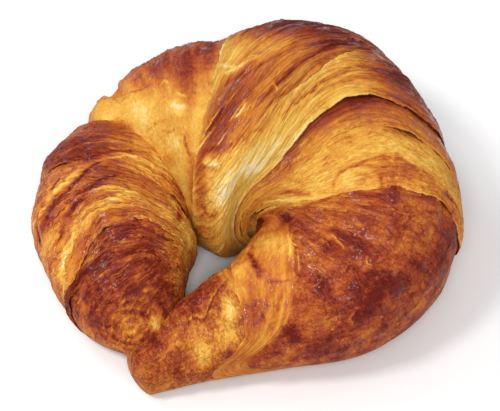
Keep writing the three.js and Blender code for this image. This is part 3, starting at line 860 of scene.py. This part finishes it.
bake_wrap("dark_wrap", ARM_CUTS, [("lip", *LEFT_TIP_SEAM), ("tuck", *DARK_SEAM)], dark_form,
          ("dark crust", 0.06, 0.12, 0.10, 0.6, 0.8), rows=120, columns=280, seed=17)

# The layered wrap: the turn whose layers parted as it rose.
# Thin sheets of dough show one behind another, pale where they tore and brown on their edges.
LAYER_SEAM = ([2.5, 2.95, 3.5, 3.68, 3.6], [(0.75, 0.3, 0.35)], 0)
LAYER_BROWNING_AND_PAINTED_LIGHT = [
    (3.15, 0.15, 0.4, 0.2, -0.5, 0.16), (1.95, 1.0, 0.5, 0.25, -0.8, -0.1), (2.7, 0.75, 0.25, 0.5, -0.8, 0.2),
    # The paler patch at (2.7, -1.2), low on the inner side that faces the ring, is painted light standing in for
    # light thrown back into the ring.
    (2.2, 1.15, 0.6, 0.3, 0, -0.08), (2.7, -1.2, 1.3, 0.6, 0, -0.36),
]
LAYER_STROKES = [
    (1.3, -0.3, 0.2, [1.6, 1.35, 1.9, 0.95, 2.15, 0.58, 2.4, 0.22, 2.65, -0.1, 2.85, -0.35]),
    (1.0, 0.34, -0.2, [2.1, 1.1, 2.4, 0.66, 2.7, 0.34, 3.0, 0.12, 3.3, -0.1]),
    (0.7, 0.3, -0.15, [2.5, 1.2, 2.75, 0.8, 2.95, 0.5, 3.2, 0.3, 3.5, 0.0]),
    (0.9, -0.34, 0.2, [2.75, 1.15, 2.95, 0.78, 3.15, 0.55, 3.4, 0.3]),
    (0.5, 0.5, -0.3, [3.05, 0.42, 3.25, 0.28, 3.5, 0.16, 3.7, 0.04]),
    (0.6, 0.5, -0.4, [3.12, 0.78, 3.22, 0.7, 3.32, 0.6]), (1.2, 0.4, -0.3, [2.15, -0.8, 2.35, -0.88, 2.6, -0.92]),
    (0.5, 0.5, -0.3, [3.02, -0.62, 3.12, -0.66, 3.2, -0.72]),
    (0.5, 0.55, -0.5, [2.9, 1.08, 2.78, 1.17, 2.62, 1.28, 2.42, 1.38]),
    (0.8, -0.25, 0.4, [2.98, 1.25, 2.8, 1.38, 2.6, 1.5]),
]
LAYER_LOOK = dict(
    base=0.56, rise=(0.9, -0.2, 0.5), grain=(22, 22), patches=LAYER_BROWNING_AND_PAINTED_LIGHT, strokes=LAYER_STROKES, seed=89,
    sheets=(-1, 3.6, 59, 0.45, 0.14, -0.12, 0.22, 0.3), patterns=[("streaks", 19, 1.2, 13, 0.15, 0.13)],
)

bake_wrap("layered_wrap", ARM_CUTS, [("lip", *DARK_SEAM), ("tuck", *LAYER_SEAM)],
          partial(plain, LAYER_LOOK, ARM_CUTS), ("layered crust", 0.06, 0.12, 0.06, 0.6, 0.5),
          rows=240, columns=300, seed=19)

# The shoulder wrap: the fat turn of the left arm beside the neck.
# Well browned skin on top with its edge rolled over the layers below.
SHOULDER_BROWNING = [
    (4.0, 0.55, 0.5, 0.5, 0, 0.26), (4.7, 0.25, 0.5, 0.25, 0, 0.1), (4.4, -0.6, 1.0, 0.45, 0.2, -0.26),
    (3.55, -0.5, 0.4, 0.4, 0, -0.2), (4.3, 1.8, 0.9, 0.5, 0, 0.1), (4.1, 1.05, 0.5, 0.2, 0, 0.12),
]
SHOULDER_STROKES = [
    (0.5, 0.25, -0.15, [3.6, 0.3, 3.8, 0.1, 3.95, -0.2, 3.98, -0.45]),
    (0.5, -0.3, 0.15, [3.62, 0.12, 3.75, -0.1, 3.78, -0.35]),
    (0.5, -0.2, 0.12, [3.9, 0.75, 4.0, 0.5, 4.15, 0.2, 4.2, -0.1]),
]
SHOULDER_LOOK = dict(
    base=0.68, rise=(0.6, 0.3, 0.7), grain=(24, 24), patches=SHOULDER_BROWNING, strokes=SHOULDER_STROKES, seed=90,
    sheets=(-1, 3.0, 69, 0.25, 0.08, -0.1, 0.12, 0.1),
    patterns=[("streaks", 20, 1.5, 14, 0.2, 0.12), ("mottle", 30, 4, 5, 0.25, 0.08)],
)

bake_wrap("shoulder_wrap", ARM_CUTS, [("lip", *LAYER_SEAM), ("cap", 5, None, 4.5)],
          partial(plain, SHOULDER_LOOK, ARM_CUTS), ("shoulder crust", 0.06, 0.10, 0.06, 0.5, 0.6),
          rows=150, columns=280, seed=21)

# The middle wrap: the last turn and the widest, its flap lying over both neighbours.
# Stretched dough with long streaks that fan out from the inside of the bend, glossy where egg-washed.
MIDDLE_BROWNING_AND_PAINTED_LIGHT = [
    (3.3, -0.32, 0.9, 0.34, 0.22, 0.43), (4.5, 0.2, 0.5, 0.22, 0.5, 0.12), (4.2, 0.6, 0.8, 0.28, 0, 0.37),
    (2.45, -1.0, 0.35, 0.4, 0, 0.3), (3.1, 0.5, 0.28, 0.34, -0.2, -0.18), (5.6, -0.6, 0.5, 0.4, 0, -0.2),
    # The paler patches low on the inner side, at (4.6, -0.9), (3.6, -0.95) and (4.6, -1.4), are pale dough made paler
    # still as painted light where that side lies in shade.
    (4.6, -0.9, 0.9, 0.34, 0.1, -0.24), (3.6, -0.95, 0.9, 0.25, 0, -0.23), (4.6, -1.4, 1.4, 0.35, 0, -0.16),
    (4.3, 1.8, 2.0, 0.75, 0, 0.26), (5.9, 0.75, 0.4, 0.35, 0, 0.16), (4.85, 0.42, 0.22, 0.12, 0.5, 0.24),
    (5.1, 0.0, 0.35, 0.2, 0.5, -0.03), (5.25, 0.75, 0.3, 0.2, 0, 0.08),
]
# The pale rows are mostly painted highlights: glints along the grain on the egg wash, the first ten the brightest.
# The brown rows are streaks.
MIDDLE_STROKES = [
    (0.3, -0.5, 0.25, [2.3, -0.65, 2.64, -0.51, 2.97, -0.38]),
    (0.3, -0.48, 0.25, [2.44, -0.53, 2.7, -0.4, 2.86, -0.31, 3.08, -0.21]),
    (0.28, -0.6, 0.2, [3.1, -0.58, 3.24, -0.54, 3.45, -0.45]),
    (0.26, -0.6, 0.2, [3.45, -0.38, 3.62, -0.32, 3.86, -0.2]),
    (0.32, -0.6, 0.25, [3.68, -0.36, 3.82, -0.31, 3.9, -0.24]),
    (1.1, -0.3, 0.3, [2.55, -0.77, 2.72, -0.72, 3.08, -0.72, 3.25, -0.79]),
    (0.3, -0.45, 0.2, [3.0, 0.06, 3.15, 0.08, 3.3, 0.08]), (0.3, -0.3, 0.2, [3.5, 0.15, 3.65, 0.16, 3.8, 0.14]),
    (0.22, -0.45, 0.2, [4.35, -0.06, 4.5, -0.1, 4.64, -0.14]), (0.3, -0.3, 0.2, [3.3, -0.05, 3.5, 0.0, 3.8, 0.06]),
    (0.9, 0.18, -0.25, [2.75, -0.1, 3.2, 0.0, 3.7, 0.02, 4.15, 0.12, 4.5, 0.3, 4.85, 0.44, 5.1, 0.6]),
    (0.8, 0.25, -0.15, [2.55, -0.5, 2.75, -0.42, 3.0, -0.3, 3.2, -0.2]),
    (1.0, 0.22, -0.25, [2.25, -0.85, 2.6, -0.66, 3.1, -0.6, 3.7, -0.62, 4.1, -0.55, 4.45, -0.42]),
    (0.6, -0.26, 0.3, [3.1, -0.22, 3.35, -0.17, 3.55, -0.1]),
    (0.6, -0.24, 0.3, [3.55, -0.36, 3.85, -0.33, 4.15, -0.27]),
    (0.6, -0.28, 0.3, [2.42, -0.7, 2.65, -0.74, 3.0, -0.75, 3.35, -0.78]),
    (0.6, -0.3, 0.2, [2.8, 0.24, 3.1, 0.13, 3.45, 0.1, 3.8, 0.16, 4.1, 0.26]),
    (0.5, -0.25, 0.15, [3.05, 0.05, 3.3, 0.07, 3.5, 0.09]),
    (0.8, 0.3, -0.2, [4.2, -0.3, 4.5, -0.1, 4.8, 0.2, 5.0, 0.5, 5.15, 0.8]),
    (0.8, 0.25, -0.15, [4.5, -0.35, 4.85, -0.1, 5.02, 0.2, 5.1, 0.42]),
    (0.6, 0.2, -0.1, [4.2, -0.62, 4.6, -0.5, 4.85, -0.5]),
    (1.0, -0.25, 0.2, [4.6, -0.85, 5.0, -0.86, 5.4, -0.82, 5.8, -0.75]),
    (0.7, 0.22, -0.15, [5.15, -0.35, 5.3, -0.05, 5.45, 0.25, 5.65, 0.6]),
    (0.6, 0.2, -0.1, [5.4, -0.1, 5.55, 0.15, 5.8, 0.5]),
    (0.6, 0.2, -0.15, [3.2, -1.05, 3.8, -0.95, 4.4, -0.85, 4.6, -0.75]),
    (0.7, 0.22, -0.15, [2.4, -1.2, 3.0, -1.3, 3.8, -1.25]), (0.6, 0.18, -0.1, [4.4, -1.3, 4.9, -1.1, 5.3, -1.0]),
]
# Torn edges: (lift, [t, angle, t, angle ...]).
MIDDLE_FLAPS = [
    (0.9, [5.38, 0.8, 5.2, 0.45, 5.15, 0.22, 5.12, 0.04, 4.95, -0.12, 4.7, -0.3]),
    (0.6, [5.36, 0.1, 5.3, -0.05, 5.2, -0.25]), (0.7, [4.95, 0.62, 5.05, 0.72, 5.3, 0.9]),
]


def middle_grain(s, angle):
    """A number that stays the same along the stretched dough, in mm: round the roll beside both rims,
    slanting from the inside of the bend to the far side between them."""
    per_cut = 12 + 7.5 * np.sin(angle)
    lag = s + 0.25 * (1 - np.exp(-s / 0.06)) + 1.5 * (np.maximum(s - 0.6, 0) / 0.4) ** 2
    return 33 * (angle - 0.1 * per_cut * lag)


def middle_form(s, t, angle):
    """The middle wrap: streaks, broad folds and sheets that run with the stretched dough and, near its right
    rim, beside that rim; finer pleats in the glossy oval on its left side; both rims pale, the outer side
    brown; and drawn marks, torn flaps and the bend."""
    fan, along = middle_grain(s, angle), 14 * t + 20 * angle
    edge_mm, around = 18 * (rim(MIDDLE_SEAM[0], angle) - t), 33 * angle
    by_rim = ramp(s, 0.66, 0.8)
    marks = streaks(fan, along, 31, 1.7, 20) * (1 - by_rim) + streaks(edge_mm, around, 61, 1.3, 20) * by_rim
    folds = streaks(fan, along, 41, 5, 45) * (1 - by_rim)
    tone, edge, shade, step = sheets(fan, along, 4.6, 65) * (1 - by_rim) + sheets(edge_mm, around, 3.2, 67) * by_rim
    drawn, lifted = strokes(BODY_CUTS, t, angle, MIDDLE_STROKES, 91)
    torn, raised, gap = flaps(BODY_CUTS, t, angle, MIDDLE_FLAPS, 95)
    oval = np.exp(-(((t - 3.3) / 0.9) ** 2) - ((angle + 0.3) / 0.4) ** 2)
    _, pleat_edge, pleat_shade, pleat_step = sheets(fan, along, 2.0, 70, 0.9)
    height = rise(s, 0.9, 1.4, 0.7) + 0.2 * marks + 0.4 * folds + 0.3 * step + 0.5 * oval * pleat_step
    height = height + lifted + raised + inside_bend(t, angle)
    pale_rims = 0.2 * np.exp(-s / 0.035) + 0.1 * np.exp((s - 1) / 0.1) * (1 - ramp(angle, 0.1, 0.5))
    bake = 0.37 - pale_rims + patches(t, angle, MIDDLE_BROWNING_AND_PAINTED_LIGHT) + 0.34 * ramp(angle, 0.25, 0.8)
    bake = bake + (0.13 * marks + 0.06 * folds + 0.12 * tone) * (1 - 0.65 * oval)
    bake = bake + oval * (0.12 * pleat_shade - 0.1 * pleat_edge) - 0.08 * edge + 0.18 * shade + drawn + torn
    beyond = s > 0.73
    # Painted shade in the gaps under the torn flaps and under the sheets' edges.
    return height, bake, gap + 0.15 * shade, np.where(beyond, edge_mm, fan), 0.7 * np.where(beyond, around, along)


bake_wrap("middle_wrap", BODY_CUTS, [("lip", *NECK_SEAM), ("lip", *MIDDLE_SEAM)],
          middle_form, ("middle crust", 0.05, 0.08, 0.05, 0.75, 0.5), rows=260, columns=345, seed=23)

# The table, the light and the camera.
# A plain pale floor, three soft warm lamps over the left and the front, and the photograph's viewing angle.
FLOOR = 3.0  # half its side, in m
floor_mesh = bpy.data.meshes.new("floor")
corners = [(-FLOOR, -FLOOR, 0), (FLOOR, -FLOOR, 0), (FLOOR, FLOOR, 0), (-FLOOR, FLOOR, 0)]
floor_mesh.from_pydata(corners, [], [(0, 1, 2, 3)])
floor = bpy.data.objects.new("floor", floor_mesh)
bpy.context.collection.objects.link(floor)
paper = bpy.data.materials.new("pale floor")
paper.use_nodes = True
paper.node_tree.nodes["Principled BSDF"].inputs["Base Color"].default_value = (0.87, 0.91, 0.97, 1)
paper.node_tree.nodes["Principled BSDF"].inputs["Roughness"].default_value = 0.9
floor_mesh.materials.append(paper)

world = bpy.data.worlds.new("studio")
world.use_nodes = True
world.node_tree.nodes["Background"].inputs["Color"].default_value = (1, 0.97, 0.93, 1)
world.node_tree.nodes["Background"].inputs["Strength"].default_value = 0.62
bpy.context.scene.world = world
bpy.context.scene.view_settings.view_transform = "Standard"


def soft_light(name, place, size, power):
    """A square lamp at place, size metres wide, of power watts, that faces the croissant."""
    lamp = bpy.data.lights.new(name, "AREA")
    lamp.size, lamp.energy, lamp.color = size, power, (1.0, 0.955, 0.88)
    light = bpy.data.objects.new(name, lamp)
    light.location = place
    light.rotation_euler = (Vector((0, 0, 0.02)) - Vector(place)).to_track_quat("-Z", "Y").to_euler()
    bpy.context.collection.objects.link(light)


soft_light("left", (-0.28, -0.34, 0.74), 0.16, 2.7)
soft_light("front", (0.24, -0.40, 0.66), 0.25, 2.4)
soft_light("window", (-0.55, 0.05, 0.62), 0.25, 1.4)

AZIMUTH, ELEVATION = np.radians(33), np.radians(57)
DISTANCE = 0.62
AIM = Vector((0.000315, -0.021539, 0.02))
AIM_PIXEL = (210, 262)  # where the photo shows AIM
IMAGE = (500, 411)
FOCAL_PIXELS = 2160.3
SENSOR = 36.0
back = Vector((np.sin(AZIMUTH) * np.cos(ELEVATION), -np.cos(AZIMUTH) * np.cos(ELEVATION), np.sin(ELEVATION)))
right = Vector((np.cos(AZIMUTH), np.sin(AZIMUTH), 0))
up = back.cross(right)
away = (IMAGE[0] / 2 - AIM_PIXEL[0]) / FOCAL_PIXELS
above = (AIM_PIXEL[1] - IMAGE[1] / 2) / FOCAL_PIXELS
view_axis = (-back + right * away + up * above).normalized()
side = (right - view_axis * right.dot(view_axis)).normalized()
optics = bpy.data.cameras.new("camera")
optics.sensor_width = SENSOR
optics.lens = FOCAL_PIXELS / IMAGE[0] * SENSOR
optics.clip_start, optics.clip_end = 0.01, 10
camera = bpy.data.objects.new("camera", optics)
turn = Matrix((side, side.cross(view_axis), -view_axis)).transposed()
camera.matrix_world = Matrix.Translation(AIM + back * DISTANCE) @ turn.to_4x4()
bpy.context.collection.objects.link(camera)
bpy.context.scene.camera = camera
